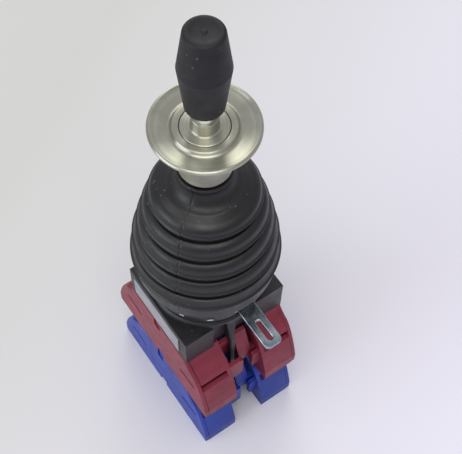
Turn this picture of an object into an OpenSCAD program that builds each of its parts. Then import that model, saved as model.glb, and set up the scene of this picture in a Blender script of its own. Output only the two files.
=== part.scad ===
// Panel-mounted four-way lever switch with a lift-to-unlock ring, a rubber boot and four contact blocks.
// Origin: centre of the panel seat. +Z points up the lever, -Y to the locking tab, X across the columns.

/* [Knob] */
// Length of the knob
knob_len = 21; // [16:0.5:24]
// Radius at the knob's top
knob_top_r = 4; // [3.6:0.1:4.8]
// Radius at the knob's widest ridge
knob_ridge_r = 5.25; // [4.9:0.05:6]
// Radius at the knob's lower end
knob_bottom_r = 4.1; // [3.9:0.1:4.8]
// Height of the ridge above the knob's lower end
knob_ridge_up = 11.5; // [8:0.5:13]

/* [Lever] */
// Height of the tilting centre above the panel
pivot_up = 8; // [7.8:0.1:9]
// Distance from the tilting centre to the knob's lower end
lever_reach = 52.3; // [51.5:0.5:60]
// Radius of the steel shaft
shaft_r = 2.6; // [2.2:0.1:2.7]
// Radius of the ball-shaped boss at the tilting centre
boss_r = 4.9; // [4.2:0.1:5]
// Largest tilt each way, in degrees
tilt_max = 15; // [8:0.5:15]
// Radius of the gimbal and lever pins
pin_r = 1.25; // [0.9:0.05:1.4]

/* [Lock ring] */
// Radius of the ring's finger disc
disc_r = 11.6; // [9:0.1:13]
// Thickness of the finger disc
disc_t = 1.1; // [0.8:0.1:1.6]
// Radius of the ring's hub
hub_r = 5.85; // [5.7:0.05:6.2]
// Height of the finger disc's rim above the panel
disc_up = 54.2; // [54:0.1:55]
// Height of the hub's lower end above the panel
hub_up = 39.8; // [39.4:0.1:41]
// Travel of the ring along the shaft
lock_lift = 4; // [2:0.25:4]
// Outer radius of the lock tube below the hub
lock_tube_r = 3.9; // [3.4:0.05:4]

/* [Boot] */
// Outer radius of the lowest fold
boot_base_r = 18.2; // [17.9:0.1:20]
// Outer radius of the top fold
boot_top_r = 12.9; // [11.5:0.1:14]
// Height of the lowest fold's ridge above the panel
boot_base_up = 6.2; // [6:0.1:7]
// Distance between two folds
fold_pitch = 6; // [5.6:0.05:6]
// Number of folds
fold_count = 5; // [4:1:5]
// Wall of the boot
boot_wall = 1.1; // [0.8:0.1:1.3]
// Radius of the boot's neck lip
boot_lip_r = 6.3; // [5.6:0.1:6.6]

/* [Operator] */
// Radius of the flange that sits on the panel
flange_r = 16.4; // [16:0.1:17]
// Thickness of the flange
flange_t = 1.6; // [1.2:0.1:2]
// Thickness of the panel gasket
gasket_t = 1; // [0.6:0.1:1.5]
// Outer radius of the mounting thread
barrel_r = 11; // [11:0.1:11.4]
// Thickest panel that the ring nut still clamps
panel_gap = 6; // [4:0.5:6]
// Height of the ring nut
nut_h = 3.4; // [2.6:0.1:3.4]
// Radius of the ring nut
nut_r = 14.2; // [13:0.1:15]
// Outer radius of the gimbal tower
tower_r = 12.6; // [12:0.1:13]
// Bore of the gimbal tower
tower_bore_r = 10.3; // [10.2:0.05:10.8]
// Thickness of the gate plate
gate_t = 2; // [1.4:0.1:2]

/* [Pushers] */
// Distance from the lever axis to each pusher
push_arm = 7.5; // [7.3:0.05:7.6]
// Radius of the pushers
push_r = 1.4; // [1.2:0.05:1.45]

/* [Adaptor] */
// Width of the adaptor box across the two columns
adaptor_w = 30; // [29:0.2:31]
// Length of the adaptor box along the columns
adaptor_l = 26.2; // [25:0.2:30]
// Height of the adaptor box
adaptor_h = 11; // [11:0.1:13]
// Depth of the adaptor's top below the panel seat
adaptor_down = 13; // [12.8:0.1:14]
// Radius of the round collar on the adaptor
collar_r = 14.4; // [13:0.1:15]
// Thickness of the locking lever's sheet
tab_t = 1; // [0.8:0.1:1.2]
// Reach of the locking lever from the axis
tab_reach = 26.1; // [22:0.1:30]
// Width of the locking lever's tab
tab_w = 4.9; // [3.5:0.1:6]
// Turn of the locking lever to release, in degrees
tab_turn = 35; // [20:1:45]

/* [Contact blocks] */
// Width of one contact block
block_w = 10.4; // [10.2:0.1:11]
// Length of one contact block
block_l = 44; // [42:0.5:50]
// Height of one contact block
block_h = 22; // [20:0.25:25]
// Distance from the lever axis to the middle of a column
column_x = 10; // [9.8:0.1:10.4]
// Wall of the block mouldings
block_wall = 1.1; // [0.8:0.1:1.3]
// Thickness of the outer cover
cover_t = 1.2; // [0.8:0.1:1.5]

/* [Hidden] */
$fn = 96;

eps = 0.01;             // overshoot of a cut past the face it opens
run_gap = 0.05;         // radial clearance of a pin, rod or plunger in its bore
free_gap = 0.3;         // clearance between pieces that pass each other

// Heights of the lever train, measured from the panel seat.
knob_z = pivot_up + lever_reach;
knob_ridge_z = knob_z + knob_ridge_up;
knob_top_z = knob_z + knob_len;
stud_r = shaft_r - 0.6;
stud_len = knob_len * 0.6;
insert_r = stud_r + 1.3;

// Lock ring, its tube and the cap that its spring bears on.
bore_r = hub_r - 0.6;
hub_floor_t = 2.7;
cap_r = bore_r - run_gap - 0.05;
cap_z = disc_up - 0.3;
cap_t = 2.4;
cap_neck_r = shaft_r + 0.3;
cap_neck_len = 3.5;
lock_wire_r = 0.35;

// Gimbal and foot plate.
ring_r = 8.2;
ring_bore_r = boss_r + 0.7;
ring_half_h = 2.1;
plate_r = push_arm + 0.9;
plate_drop = 4.8;
plate_t = 1.5;
plate_z = pivot_up - plate_drop - plate_t;
push_play = 0.6;
nut_af_r = 3.2;
foot_nut_h = 2;

// Operator: flange, tower, gate.
flange_z = gasket_t;
base_z = flange_z + flange_t;
base_t = 1.8;
tower_top_z = pivot_up + 5;
gate_z = tower_top_z + gate_t;
gate_half = (gate_z - pivot_up) * tan(tilt_max) / cos(tilt_max) + shaft_r / cos(tilt_max) + 0.5;
lock_tube_z = gate_z + 2.4;
nut_z = -panel_gap - nut_h;
neck_r = barrel_r - 0.6;
neck_end_z = -adaptor_down - 2.1;
guide_z = -adaptor_down + 1;
guide_t = 5;
guide_r = barrel_r - 1.5;
mouth_z = -1.5;

// Adaptor: locking lever, collar, cavity.
adaptor_z = -adaptor_down - adaptor_h;
top_wall = 1.5;
floor_wall = 1.4;
side_wall = 1.6;
tab_z = -adaptor_down + 2.4;
collar_z = tab_z - 0.1;
tab_x = 2.75;
tab_ring_r = nut_r - 0.6;
slot_w = 1.4;
slot_len = 6.3;
groove_l = 1.2;
tongue_x0 = -2.5;
tongue_x1 = -1.1;
tongue_out = 2.1;
tongue_len = 14;
push_end_z = adaptor_z + floor_wall + 0.25;
cross_t = 2.4;
cross_z = push_end_z + 2.45;
cross_w = 2.4;

// Contact blocks: heights measured down from each block's own top.
red_z = adaptor_z;
blue_z = red_z - block_h;
head_up = push_end_z - red_z;
push_travel = push_arm * tilt_max * PI / 180;
inner_face = block_w / 2;
case_w = block_w - cover_t;
plunger_x = push_arm - column_x;
carrier_top = 6;
carrier_t = 3;
strip_t = 0.8;
strip_w = 3.2;
strip_half = 6.3;
strip_down = carrier_top + carrier_t;
strip_low = strip_down + strip_t;
open_gap = 0.6;
contact_gap = 0.15;
contact_t = 0.7;
end_plate_y = block_l / 2 - 8;
end_plate_w = 6.4;
screw_down = 8.2;
screw_head_r = 2.3;
screw_head_t = 1.4;
clamp_t = 0.6;
clamp_half = 2.7;
wire_screw_r = 1.4;
shoulder_run = 9.5;
shelf_down = 3.4;
shelf_run = 5.5;
shelf_l = 1.4;
nose_down = 18;
window_w = 8;
window_h = 2.3;
window_down = 7;
hook_x0 = -0.6;
hook_x1 = 3.2;
hook_root_y = 12.4;
hook_t = 1;
hook_y = 16.6;
hook_down = 8.8;
hook_lip = 3.2;
lug_y = 18.5;
lug_t = 1.2;
lug_down = 6.5;
lug_h = 9.2;

// Points along a circular arc from angle a0 to a1.
function arc(centre, r, a0, a1, steps = 8) =
    [for (i = [0:steps]) let (a = a0 + (a1 - a0) * i / steps) centre + r * [cos(a), sin(a)]];

// Points along a quadratic curve that leaves p0 towards p1 and arrives at p2.
function curve(p0, p1, p2, steps = 6) =
    [for (i = [0:steps]) let (t = i / steps) (1 - t) ^ 2 * p0 + 2 * t * (1 - t) * p1 + t ^ 2 * p2];

module tube(r_out, r_in, z0, z1) {
    translate([0, 0, z0])
        difference() {
            cylinder(r = r_out, h = z1 - z0);
            translate([0, 0, -eps])
                cylinder(r = r_in, h = z1 - z0 + 2 * eps);
        }
}

module rod_x(r, x0, x1, y = 0, z = 0) {
    translate([x0, y, z])
        rotate([0, 90, 0])
            cylinder(r = r, h = x1 - x0);
}

module rod_y(r, y0, y1, x = 0, z = 0) {
    translate([x, y1, z])
        rotate([90, 0, 0])
            cylinder(r = r, h = y1 - y0);
}

module box(x0, x1, y0, y1, z0, z1) {
    translate([x0, y0, z0])
        cube([x1 - x0, y1 - y0, z1 - z0]);
}

// A coil spring: one round wire swept along a helix, with a touching turn at each end.
module coil(mean_r, wire_r, z0, z1, turns, sides = 6, per_turn = 14) {
    rings = turns * per_turn;
    tight = 2.05 * wire_r;
    low = z0 + wire_r;
    high = z1 - wire_r;
    climb = [[0, low], [1, low + tight], [turns - 1, high - tight], [turns, high]];
    pts = [
        for (i = [0:rings])
            let (turn = i / per_turn, a = 360 * turn, z = lookup(turn, climb))
            for (k = [0:sides - 1])
                let (b = 360 * k / sides, r = mean_r + wire_r * cos(b))
                [r * cos(a), r * sin(a), z + wire_r * sin(b)]
    ];
    skin = [
        for (i = [0:rings - 1], k = [0:sides - 1])
            let (j = (k + 1) % sides)
            [i * sides + k, (i + 1) * sides + k, (i + 1) * sides + j, i * sides + j]
    ];
    first = [for (k = [0:sides - 1]) k];
    last = [for (k = [0:sides - 1]) rings * sides + sides - 1 - k];
    polyhedron(points = pts, faces = concat(skin, [first, last]), convexity = 10);
}

// ---- Lever ----

module knob() {
    color("#242529")
        difference() {
            rotate_extrude()
                polygon(concat(
                    [[0, knob_z]],
                    arc([knob_bottom_r - 0.5, knob_z + 0.5], 0.5, -90, -10, 5),
                    arc([knob_ridge_r - 1.2, knob_ridge_z], 1.2, -12, 12, 5),
                    arc([knob_top_r - 0.6, knob_top_z - 0.6], 0.6, 12, 90, 5),
                    [[1.6, knob_top_z - 0.25], [1.2, knob_top_z - 0.25], [0.9, knob_top_z - 0.05],
                     [0, knob_top_z - 0.05]]
                ));
            translate([0, 0, knob_z - eps])
                cylinder(r = insert_r, h = stud_len + 1);
            translate([0, 0, knob_z + stud_len])
                cylinder(r = stud_r, h = 1.5);
        }
}

module knob_insert() {
    color("#b8963c")
        tube(insert_r, stud_r, knob_z + 0.6, knob_z + stud_len);
}

module lever_shaft() {
    foot_z = plate_z + plate_t;
    color("#d9dbdd")
        difference() {
            union() {
                translate([0, 0, pivot_up])
                    sphere(r = boss_r);
                translate([0, 0, foot_z])
                    cylinder(r = shaft_r, h = knob_z + 0.6 - foot_z);
                translate([0, 0, plate_z - foot_nut_h - 0.5])
                    cylinder(r = stud_r, h = foot_z - plate_z + foot_nut_h + 1);
                translate([0, 0, knob_z])
                    cylinder(r = stud_r, h = stud_len + 1.2);
            }
            rod_x(pin_r, -boss_r - 1, boss_r + 1, z = pivot_up);
        }
}

module spring_cap() {
    color("#c4c5c0")
        difference() {
            union() {
                rotate_extrude()
                    polygon([[shaft_r, cap_z - cap_t], [cap_r, cap_z - cap_t], [cap_r, cap_z - 0.25],
                             [cap_r - 0.25, cap_z], [shaft_r, cap_z]]);
                translate([0, 0, cap_z - eps])
                    cylinder(r = cap_neck_r, h = cap_neck_len + eps);
            }
            translate([0, 0, cap_z - cap_t - 1])
                cylinder(r = shaft_r, h = cap_t + cap_neck_len + 2);
        }
}

module lever_pin() {
    color("#b9bcbf")
        rod_x(pin_r, -ring_r + 0.2, ring_r - 0.2, z = pivot_up);
}

module foot_plate() {
    color("#8f9296")
        rotate_extrude()
            polygon([[stud_r, plate_z], [plate_r - 0.5, plate_z], [plate_r, plate_z + 0.5],
                     [plate_r, plate_z + plate_t], [stud_r, plate_z + plate_t]]);
}

module foot_nut() {
    color("#a9acb0")
        difference() {
            translate([0, 0, plate_z - foot_nut_h])
                cylinder(r = nut_af_r, h = foot_nut_h, $fn = 6);
            translate([0, 0, plate_z - foot_nut_h - 1])
                cylinder(r = stud_r, h = foot_nut_h + 2);
        }
}

// ---- Lock ring ----

module lock_ring() {
    dish_z = disc_up - 1;
    under_z = dish_z - disc_t;
    floor_z = hub_up + hub_floor_t;
    color("#c9c8bd")
        rotate_extrude()
            polygon(concat(
                [[lock_tube_r, hub_up], [hub_r - 0.3, hub_up], [hub_r, hub_up + 0.3],
                 [hub_r, under_z - 0.4], [hub_r + 0.5, under_z]],
                [[disc_r - 1.2, disc_up - disc_t]],
                arc([disc_r - 0.55, disc_up - 0.55], 0.55, -90, 90, 8),
                [[disc_r - 1.2, disc_up - 0.15], [hub_r + 1.7, dish_z], [hub_r + 1.3, dish_z],
                 [hub_r + 0.8, cap_z], [bore_r, cap_z], [bore_r, floor_z], [lock_tube_r, floor_z]]
            ));
}

module lock_tube() {
    color("#3a3b3f")
        tube(lock_tube_r, shaft_r + run_gap, lock_tube_z, hub_up + hub_floor_t);
}

module lock_spring() {
    color("#a7aab0")
        coil((bore_r + shaft_r) / 2 + 0.1, lock_wire_r, hub_up + hub_floor_t, cap_z - cap_t, 5);
}

// ---- Gimbal ----

module gimbal_ring() {
    low_z = pivot_up - ring_half_h;
    high_z = pivot_up + ring_half_h;
    color("#9b9ea3")
        difference() {
            tube(ring_r, ring_bore_r, low_z, high_z);
            rod_x(pin_r + run_gap, -ring_r - 1, ring_r + 1, z = pivot_up);
            rod_y(pin_r + run_gap, -ring_r - 1, ring_r + 1, z = pivot_up);
        }
}

module gimbal_pins() {
    color("#b9bcbf")
        for (side = [0, 180])
            rotate([0, 0, side])
                rod_y(pin_r, ring_bore_r + 0.15, tower_r, z = pivot_up);
}

// ---- Boot ----

fold_bow = 1.42;        // above 1 the upper folds draw in faster than the lower ones

// Radius and height of the ridge of fold i, counted from the lowest one.
function fold_r(i) = boot_base_r - (boot_base_r - boot_top_r) * (i / (fold_count - 1)) ^ fold_bow;
function fold_z(i) = boot_base_up + i * fold_pitch;
function valley(i) = [fold_r(i) - 0.95, fold_z(i) - 0.52 * fold_pitch];

boot_top_z = hub_up - 0.8;
boot_cone_z = fold_z(fold_count - 1) + 2;
boot_neck_r = boot_lip_r - 0.4;
boot_seam_r = boot_neck_r + 2.7;
boot_hole_r = lock_tube_r + free_gap;
skirt_r = flange_r + 1;

module boot() {
    top = fold_count - 1;
    outer = concat(
        [[boot_hole_r, boot_top_z], [boot_lip_r - 0.3, boot_top_z], [boot_lip_r, boot_top_z - 0.3],
         [boot_lip_r, boot_top_z - 0.8]],
        curve([boot_neck_r, boot_top_z - 1.2], [boot_neck_r, boot_cone_z + 2.4],
              [boot_seam_r, boot_cone_z + 1.5]),
        curve([fold_r(top) - 1.5, boot_cone_z + 0.4], [fold_r(top), boot_cone_z - 0.1],
              [fold_r(top), fold_z(top)]),
        [for (i = [top - 1:-1:0])
            each curve(valley(i + 1), [fold_r(i) - 0.3, fold_z(i) + 0.4 * fold_pitch],
                       [fold_r(i), fold_z(i)])],
        [[skirt_r, fold_z(0) - 2.2], [skirt_r, 0.2], [flange_r, 0.2], [flange_r, base_z + base_t],
         [flange_r - lip_w, base_z + base_t], [flange_r - lip_w, base_z + base_t + 0.8]]
    );
    inner = concat(
        [for (i = [0:top])
            each [[fold_r(i) - 1.3 * boot_wall, fold_z(i)],
                  [i < top ? fold_r(i + 1) - 0.95 - boot_wall : fold_r(i) - 1.3 * boot_wall,
                   fold_z(i) + 0.48 * fold_pitch - (i < top ? 0 : 2.2)]]],
        [[boot_seam_r - 0.6, boot_cone_z + 1.3 - boot_wall], [boot_neck_r - boot_wall, boot_cone_z + 3],
         [boot_hole_r, boot_top_z - 1.4]]
    );
    color("#26272b")
        rotate_extrude()
            polygon(concat(outer, inner));
}

// ---- Operator ----

lip_w = 1;              // width of the boot's lip over the flange
screw_ring_r = (tower_r + flange_r - lip_w) / 2;
base_head_r = (flange_r - lip_w - tower_r) / 2 - free_gap;
base_screw_r = base_head_r * 0.68;
gate_head_r = 1.05;
gate_ring_r = tower_r - gate_head_r - 0.1;
gate_screw_r = 0.7;
gate_screw_grip = 3;
small_head_t = 0.6;

module operator_housing() {
    color("#2b2c31")
        difference() {
            union() {
                translate([0, 0, base_z])
                    cylinder(r = flange_r, h = base_t);
                translate([0, 0, base_z])
                    cylinder(r = tower_r, h = tower_top_z - base_z);
            }
            translate([0, 0, base_z - 1])
                cylinder(r = tower_bore_r, h = tower_top_z - base_z + 2);
            rod_y(pin_r, -tower_r - 1, tower_r + 1, z = pivot_up);
            for (a = [45:90:315])
                rotate([0, 0, a])
                    translate([screw_ring_r, 0, base_z - 1])
                        cylinder(r = base_screw_r, h = base_t + 2);
            for (a = [45:90:315])
                rotate([0, 0, a])
                    translate([gate_ring_r, 0, tower_top_z - gate_screw_grip])
                        cylinder(r = gate_screw_r, h = gate_screw_grip + 1);
        }
}

module gate_plate() {
    color("#85888d")
        difference() {
            translate([0, 0, tower_top_z])
                cylinder(r = tower_r, h = gate_t);
            box(-gate_half, gate_half, -gate_half, gate_half, tower_top_z - 1, gate_z + 1);
            for (a = [45:90:315])
                rotate([0, 0, a])
                    translate([gate_ring_r, 0, tower_top_z - 1])
                        cylinder(r = gate_screw_r, h = gate_t + 2);
        }
}

// A round-headed screw with its shank hanging down from the seat of its head.
module small_screw(shank_r, shank_len, head_r, head_t) {
    difference() {
        union() {
            translate([0, 0, -shank_len])
                cylinder(r = shank_r, h = shank_len + eps);
            cylinder(r = head_r, h = head_t);
        }
        box(-head_r, head_r, -head_r / 6, head_r / 6, head_t * 0.55, head_t + 1);
    }
}

module gate_screws() {
    color("#b9bcbf")
        for (a = [45:90:315])
            rotate([0, 0, a])
                translate([gate_ring_r, 0, gate_z])
                    small_screw(gate_screw_r, gate_t + gate_screw_grip - 0.5, gate_head_r, small_head_t);
}

module mounting_barrel() {
    color("#55575c")
        difference() {
            union() {
                translate([0, 0, flange_z])
                    cylinder(r = flange_r, h = flange_t);
                translate([0, 0, nut_z])
                    cylinder(r = barrel_r, h = flange_z - nut_z + eps);
                translate([0, 0, neck_end_z])
                    cylinder(r = neck_r, h = nut_z - neck_end_z + eps);
            }
            translate([0, 0, mouth_z])
                cylinder(r = tower_bore_r, h = base_z - mouth_z + 1);
            translate([0, 0, guide_z])
                cylinder(r = guide_r, h = mouth_z - guide_z + eps);
            translate([0, 0, neck_end_z - 1])
                cylinder(r = push_arm + push_r + free_gap, h = guide_z - neck_end_z + 1 + eps);
            for (a = [45:90:315])
                rotate([0, 0, a])
                    translate([screw_ring_r, 0, flange_z - 1])
                        cylinder(r = base_screw_r, h = flange_t + 2);
        }
}

module housing_screws() {
    color("#b9bcbf")
        for (a = [45:90:315])
            rotate([0, 0, a])
                translate([screw_ring_r, 0, base_z + base_t])
                    small_screw(base_screw_r, base_t + flange_t - 0.1, base_head_r, small_head_t);
}

module panel_gasket() {
    color("#1f2023")
        tube(flange_r - 0.4, barrel_r, 0, gasket_t);
}

module ring_nut() {
    notch = 1.6;
    color("#3c3e43")
        difference() {
            tube(nut_r, barrel_r, nut_z, nut_z + nut_h);
            for (a = [0:30:330])
                rotate([0, 0, a])
                    box(nut_r - 0.8, nut_r + 1, -notch / 2, notch / 2, nut_z - 1, nut_z + nut_h + 1);
        }
}

// ---- Pushers ----

// Runs its children at the place of each pusher: right, back, left, front.
module at_pushers() {
    for (a = [0:90:270])
        rotate([0, 0, a])
            translate([push_arm, 0, 0])
                children();
}

module pusher_guide() {
    color("#d8d6cc")
        difference() {
            translate([0, 0, guide_z])
                cylinder(r = guide_r - run_gap, h = guide_t);
            at_pushers()
                translate([0, 0, guide_z - 1])
                    cylinder(r = push_r + run_gap, h = guide_t + 2);
        }
}

module centring_spring() {
    color("#a7aab0")
        coil(4.7, 0.45, guide_z + guide_t, plate_z, 5);
}

module pusher_body(end_z) {
    top_z = plate_z - push_play - push_r;
    translate([0, 0, top_z])
        sphere(r = push_r);
    translate([0, 0, end_z])
        cylinder(r = push_r, h = top_z - end_z);
}

module straight_pusher(angle) {
    color("#e4e2d8")
        rotate([0, 0, angle])
            translate([push_arm, 0, 0])
                pusher_body(push_end_z);
}

// A pusher over the gap, with an arm that reaches over one column and a short leg there.
module crossing_pusher(angle) {
    color("#e4e2d8")
        rotate([0, 0, angle]) {
            translate([0, push_arm, 0])
                pusher_body(cross_z);
            box(-push_arm, 0, push_arm - cross_w / 2, push_arm + cross_w / 2, cross_z, cross_z + cross_t);
            translate([-push_arm, push_arm, push_end_z])
                cylinder(r = push_r, h = cross_z + cross_t - push_end_z);
        }
}

module pusher_right() straight_pusher(0);
module pusher_left() straight_pusher(180);
module pusher_back() crossing_pusher(0);
module pusher_front() crossing_pusher(180);

// ---- Adaptor ----

module adaptor() {
    half_w = adaptor_w / 2;
    half_l = adaptor_l / 2;
    top_z = -adaptor_down;
    recess_y = groove_l - half_l;
    color("#2a2b30")
        difference() {
            union() {
                box(-half_w, half_w, -half_l, half_l, adaptor_z, top_z);
                rotate_extrude()
                    polygon([[0, top_z - eps], [collar_r, top_z - eps], [collar_r, collar_z - 0.5],
                             [collar_r - 0.5, collar_z], [0, collar_z]]);
            }
            box(side_wall - half_w, half_w - side_wall, side_wall - half_l, half_l - side_wall,
                adaptor_z + floor_wall, top_z - top_wall);
            translate([0, 0, top_z - top_wall - 1])
                cylinder(r = neck_r + run_gap, h = collar_z - top_z + top_wall + 2);
            for (a = [0, 180])
                rotate([0, 0, a]) {
                    translate([push_arm, 0, adaptor_z - 1])
                        cylinder(r = push_r + free_gap, h = floor_wall + 2);
                    translate([push_arm, -push_arm, adaptor_z - 1])
                        cylinder(r = push_r + free_gap, h = floor_wall + 2);
                    box(-6.6, tongue_x0, -half_l - 1, recess_y, adaptor_z - 1, top_z + 1);
                    box(tongue_x1 + 1.3, tongue_x1 + 4.7, -half_l - 1, recess_y, adaptor_z - 1, top_z - 2.4);
                }
        }
}

// Spring tongues that hang from the adaptor's ends between the columns and hold the upper blocks.
module adaptor_tongues() {
    half_l = adaptor_l / 2;
    root_z = -adaptor_down - 2.5;
    color("#2a2b30")
        for (end = [0, 180])
            rotate([0, 0, end])
                translate([tongue_x0, 0, 0])
                    rotate([90, 0, 90])
                        linear_extrude(tongue_x1 - tongue_x0)
                            polygon([
                                [-half_l, root_z], [-half_l - tongue_out, adaptor_z + 1.5],
                                [-half_l - tongue_out, adaptor_z - tongue_len],
                                [-half_l - tongue_out + 0.9, adaptor_z - tongue_len - 0.6],
                                [-half_l - tongue_out + 1.3, adaptor_z - tongue_len + 0.6],
                                [-half_l - tongue_out + 1.3, adaptor_z - 0.8],
                                [-half_l, adaptor_z - 0.2]
                            ]);
}

module label_plate() {
    color("#d3d5d8")
        box(-adaptor_w / 2 - 0.35, -adaptor_w / 2, -9.9, 10.8, adaptor_z + 2, -adaptor_down - 1.5);
}

module locking_lever() {
    tip_r = 1.3;
    slot_out = 1.5 - tab_reach + slot_w / 2;
    slot_in = slot_out + slot_len - slot_w;
    color("#aeb9c4")
        difference() {
            union() {
                translate([0, 0, tab_z])
                    cylinder(r = tab_ring_r, h = tab_t);
                translate([tab_x, 0, tab_z])
                    linear_extrude(tab_t)
                        polygon(concat(
                            [[-tab_w / 2, -nut_r + 3], [tab_w / 2, -nut_r + 3]],
                            arc([tab_w / 2 - tip_r, tip_r - tab_reach], tip_r, 0, -90),
                            arc([tip_r - tab_w / 2, tip_r - tab_reach], tip_r, -90, -180)
                        ));
            }
            translate([0, 0, tab_z - 1])
                cylinder(r = neck_r + run_gap, h = tab_t + 2);
            for (y = [slot_out, slot_in])
                translate([tab_x, y, tab_z - 1])
                    cylinder(r = slot_w / 2, h = tab_t + 2);
            box(tab_x - slot_w / 2, tab_x + slot_w / 2, slot_out, slot_in, tab_z - 1, tab_z + tab_t + 1);
        }
}

// ---- Contact blocks ----
// Each block is drawn for the right column, its top at z = 0; the left column has it turned half round.

// Half of the side outline, from the top to the bottom, as distance from the middle and depth: a rounded
// shoulder, a short shelf and a bowed nose. The inset draws the inner wall.
function end_outline(inset = 0) =
    let (h = block_l / 2 - inset, d = inset * 0.7)
    concat(
        curve([h - shoulder_run, inset], [h - shoulder_run + 0.9, shelf_down * 0.7 + d],
              [h - shelf_run - shelf_l, shelf_down + d], 4),
        curve([h - shelf_run, shelf_down + 0.8 + d], [h - shelf_run * 0.45, nose_down * 0.42 + d],
              [h, nose_down], 6),
        [[h, block_h - inset]]
    );

// The block's side outline extruded across the column from x0 to x1.
module side_slab(x0, x1, inset = 0) {
    half = end_outline(inset);
    last = len(half) - 1;
    translate([x0, 0, 0])
        rotate([90, 0, 90])
            linear_extrude(x1 - x0)
                polygon(concat(
                    [for (p = half) [p[0], -p[1]]],
                    [for (i = [last:-1:0]) [-half[i][0], -half[i][1]]]
                ));
}

module place(right, top_z) {
    rotate([0, 0, right ? 0 : 180])
        translate([column_x, 0, top_z])
            children();
}

module block_case(right, top_z, shade) {
    inner = -inner_face;
    color(shade)
        place(right, top_z)
            difference() {
                side_slab(inner, inner + case_w);
                side_slab(inner + block_wall, inner + case_w + 1, block_wall);
                for (y = [0, -push_arm])
                    translate([plunger_x, y, -block_wall - 1])
                        cylinder(r = push_r + run_gap, h = block_wall + 2);
                translate([plunger_x, -push_arm, -block_h - 1])
                    cylinder(r = push_r + free_gap, h = block_wall + 2);
                for (end = [-1, 1])
                    scale([1, end, 1])
                        box(-window_w / 2, window_w / 2 - eps, block_l / 2 - 6.5, block_l / 2,
                            -window_down - window_h, -window_down);
            }
}

module block_cover(right, top_z, shade) {
    outer = inner_face;
    color(shade)
        place(right, top_z)
            difference() {
                side_slab(outer - cover_t, outer);
                for (end = [-1, 1])
                    translate([outer, end * 13.2, -11])
                        rotate([end * 6, 0, 0])
                            box(-0.7, 1, -3.5, 3.5, -0.75, 0.75);
                box(outer - 0.5, outer + 1, -2.4, 0.2, -4, 1);
                box(outer - 0.5, outer + 1, -2.1, 0.7, -block_h - 1, -block_h + 2.6);
            }
}

// The plunger's head runs in the block's top and its foot carries the bridge.
module block_plunger(right, top_z, head_y) {
    foot_x = strip_w;
    color("#e8e6dc")
        place(right, top_z) {
            translate([plunger_x, head_y, -carrier_top - eps])
                cylinder(r = push_r, h = carrier_top + head_up + eps);
            box(plunger_x - push_r, foot_x, -2, 2, -strip_down, -carrier_top);
            if (head_y != 0)
                box(plunger_x - push_r, plunger_x + push_r, head_y - push_r, 0, -strip_down, -carrier_top);
        }
}

module block_bridge(right, top_z) {
    color("#c9a24a")
        place(right, top_z)
            box(0, strip_w, -strip_half, strip_half, -strip_low, -strip_down);
}

module block_spring(right, top_z) {
    color("#a7aab0")
        place(right, top_z)
            translate([strip_w / 2, 0, 0])
                coil(strip_w / 2 - 0.25, 0.2, block_wall - block_h, -strip_low, 8, 6, 12);
}

// Both terminals of one block: contact wall, run to the end, and the plate that takes the screw.
module block_terminals(right, top_z, wall_top, wall_bottom, run_down) {
    wall_y = strip_half + contact_gap;
    color("#c9a24a")
        place(right, top_z)
            for (end = [-1, 1])
                scale([1, end, 1])
                    difference() {
                        union() {
                            box(0, strip_w, wall_y, wall_y + contact_t, -wall_bottom, -wall_top);
                            box(0, strip_w, wall_y, end_plate_y, -run_down - contact_t, -run_down);
                            box(-end_plate_w / 2, end_plate_w / 2, end_plate_y - contact_t, end_plate_y,
                                -run_down - contact_t, -run_down);
                            box(-end_plate_w / 2, end_plate_w / 2, end_plate_y - contact_t, end_plate_y,
                                -max(run_down + contact_t, screw_down + clamp_half),
                                clamp_half - screw_down);
                        }
                        rod_y(wire_screw_r, end_plate_y - 2, end_plate_y + 1, z = -screw_down);
                    }
}

// Runs its children at each of the eight terminals, facing +Y.
module at_terminals() {
    for (right = [true, false], top_z = [red_z, blue_z])
        place(right, top_z)
            for (end = [0, 180])
                rotate([0, 0, end])
                    translate([0, end_plate_y, -screw_down])
                        children();
}

module terminal_clamps() {
    color("#bcc1c6")
        at_terminals()
            difference() {
                box(-clamp_half, clamp_half, 0, clamp_t, -clamp_half, clamp_half);
                rod_y(wire_screw_r, -1, clamp_t + 1);
            }
}

module terminal_screws() {
    color("#c6cace")
        at_terminals()
            translate([0, clamp_t, 0])
                rotate([-90, 0, 0])
                    small_screw(wire_screw_r, clamp_t + 3.2, screw_head_r, screw_head_t);
}

// Latches of one layer: at each end a sloping hook and two lugs, in the gap between the columns.
module layer_latches(top_z, shade) {
    gap_x = column_x - inner_face;
    color(shade)
        translate([0, 0, top_z])
            for (end = [0, 180])
                rotate([0, 0, end]) {
                    translate([hook_x0, 0, 0])
                        rotate([90, 0, 90])
                            linear_extrude(hook_x1 - hook_x0)
                                polygon([
                                    [-hook_root_y, -free_gap], [-hook_root_y - hook_t, -2 * free_gap],
                                    [-hook_y, -hook_down], [-hook_y, -hook_down - hook_lip],
                                    [-hook_y + hook_t, -hook_down - hook_lip],
                                    [-hook_y + hook_t + 0.2, -hook_down], [-hook_root_y, -2 - 2 * free_gap]
                                ]);
                    box(-gap_x, hook_x0 + eps, -hook_root_y - hook_t, -hook_root_y,
                        -hook_down, -2 * free_gap);
                    box(hook_x1 - eps, gap_x, -hook_y, -hook_y + 2 * hook_t, -hook_down - 0.8 * hook_lip,
                        -hook_down - 0.1 * hook_lip);
                    lug(-gap_x, -0.6, -lug_y, -lug_down - lug_h, -lug_down);
                    lug(gap_x, gap_x / 2, -lug_y, -lug_down - lug_h, -lug_down - 0.2 * lug_h);
                }
}

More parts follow.
